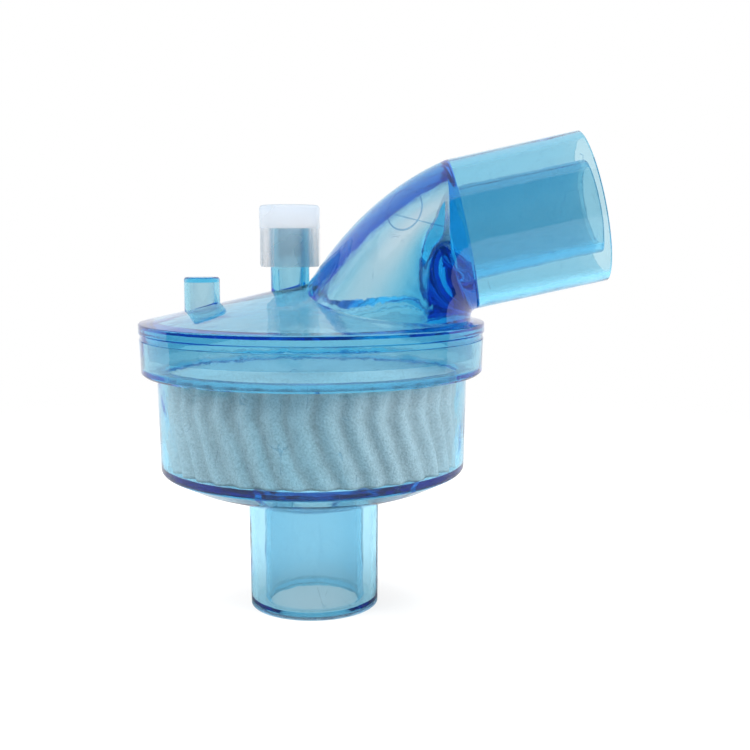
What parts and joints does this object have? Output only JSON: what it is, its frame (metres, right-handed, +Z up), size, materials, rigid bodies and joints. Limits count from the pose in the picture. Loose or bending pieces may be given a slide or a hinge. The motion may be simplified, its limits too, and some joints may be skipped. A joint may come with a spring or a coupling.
{
  "type": "breathing circuit filter",
  "caption": "Angled breathing-circuit filter: clear blue two-part housing round a fluted white medium, with a straight port, an angled port and a capped gas sampling port.",
  "frame": {"origin": "centre of the bottom port's mouth, on the plane it stands on", "axes": "+Z up along the housing's axis, +X towards the angled port, +Y behind the part"},
  "size_m": [0.0783, 0.058, 0.0804],
  "materials": {
    "clear_blue_plastic": "transparent blue moulded plastic",
    "white_medium": "white fluted filter paper with a felt-like grain",
    "milky_cap": "milky translucent moulded plastic"
  },
  "bodies": {
    "housing": {"lower_housing": "clear_blue_plastic", "upper_housing": "clear_blue_plastic", "filter_medium": "white_medium"},
    "cap": {"luer_cap": "milky_cap"}
  },
  "joints": [
    {"name": "cap_lift", "type": "slide", "parent": "housing", "child": "cap", "axis": [0, 0, 1], "range_m": [0, 0.025]}
  ]
}
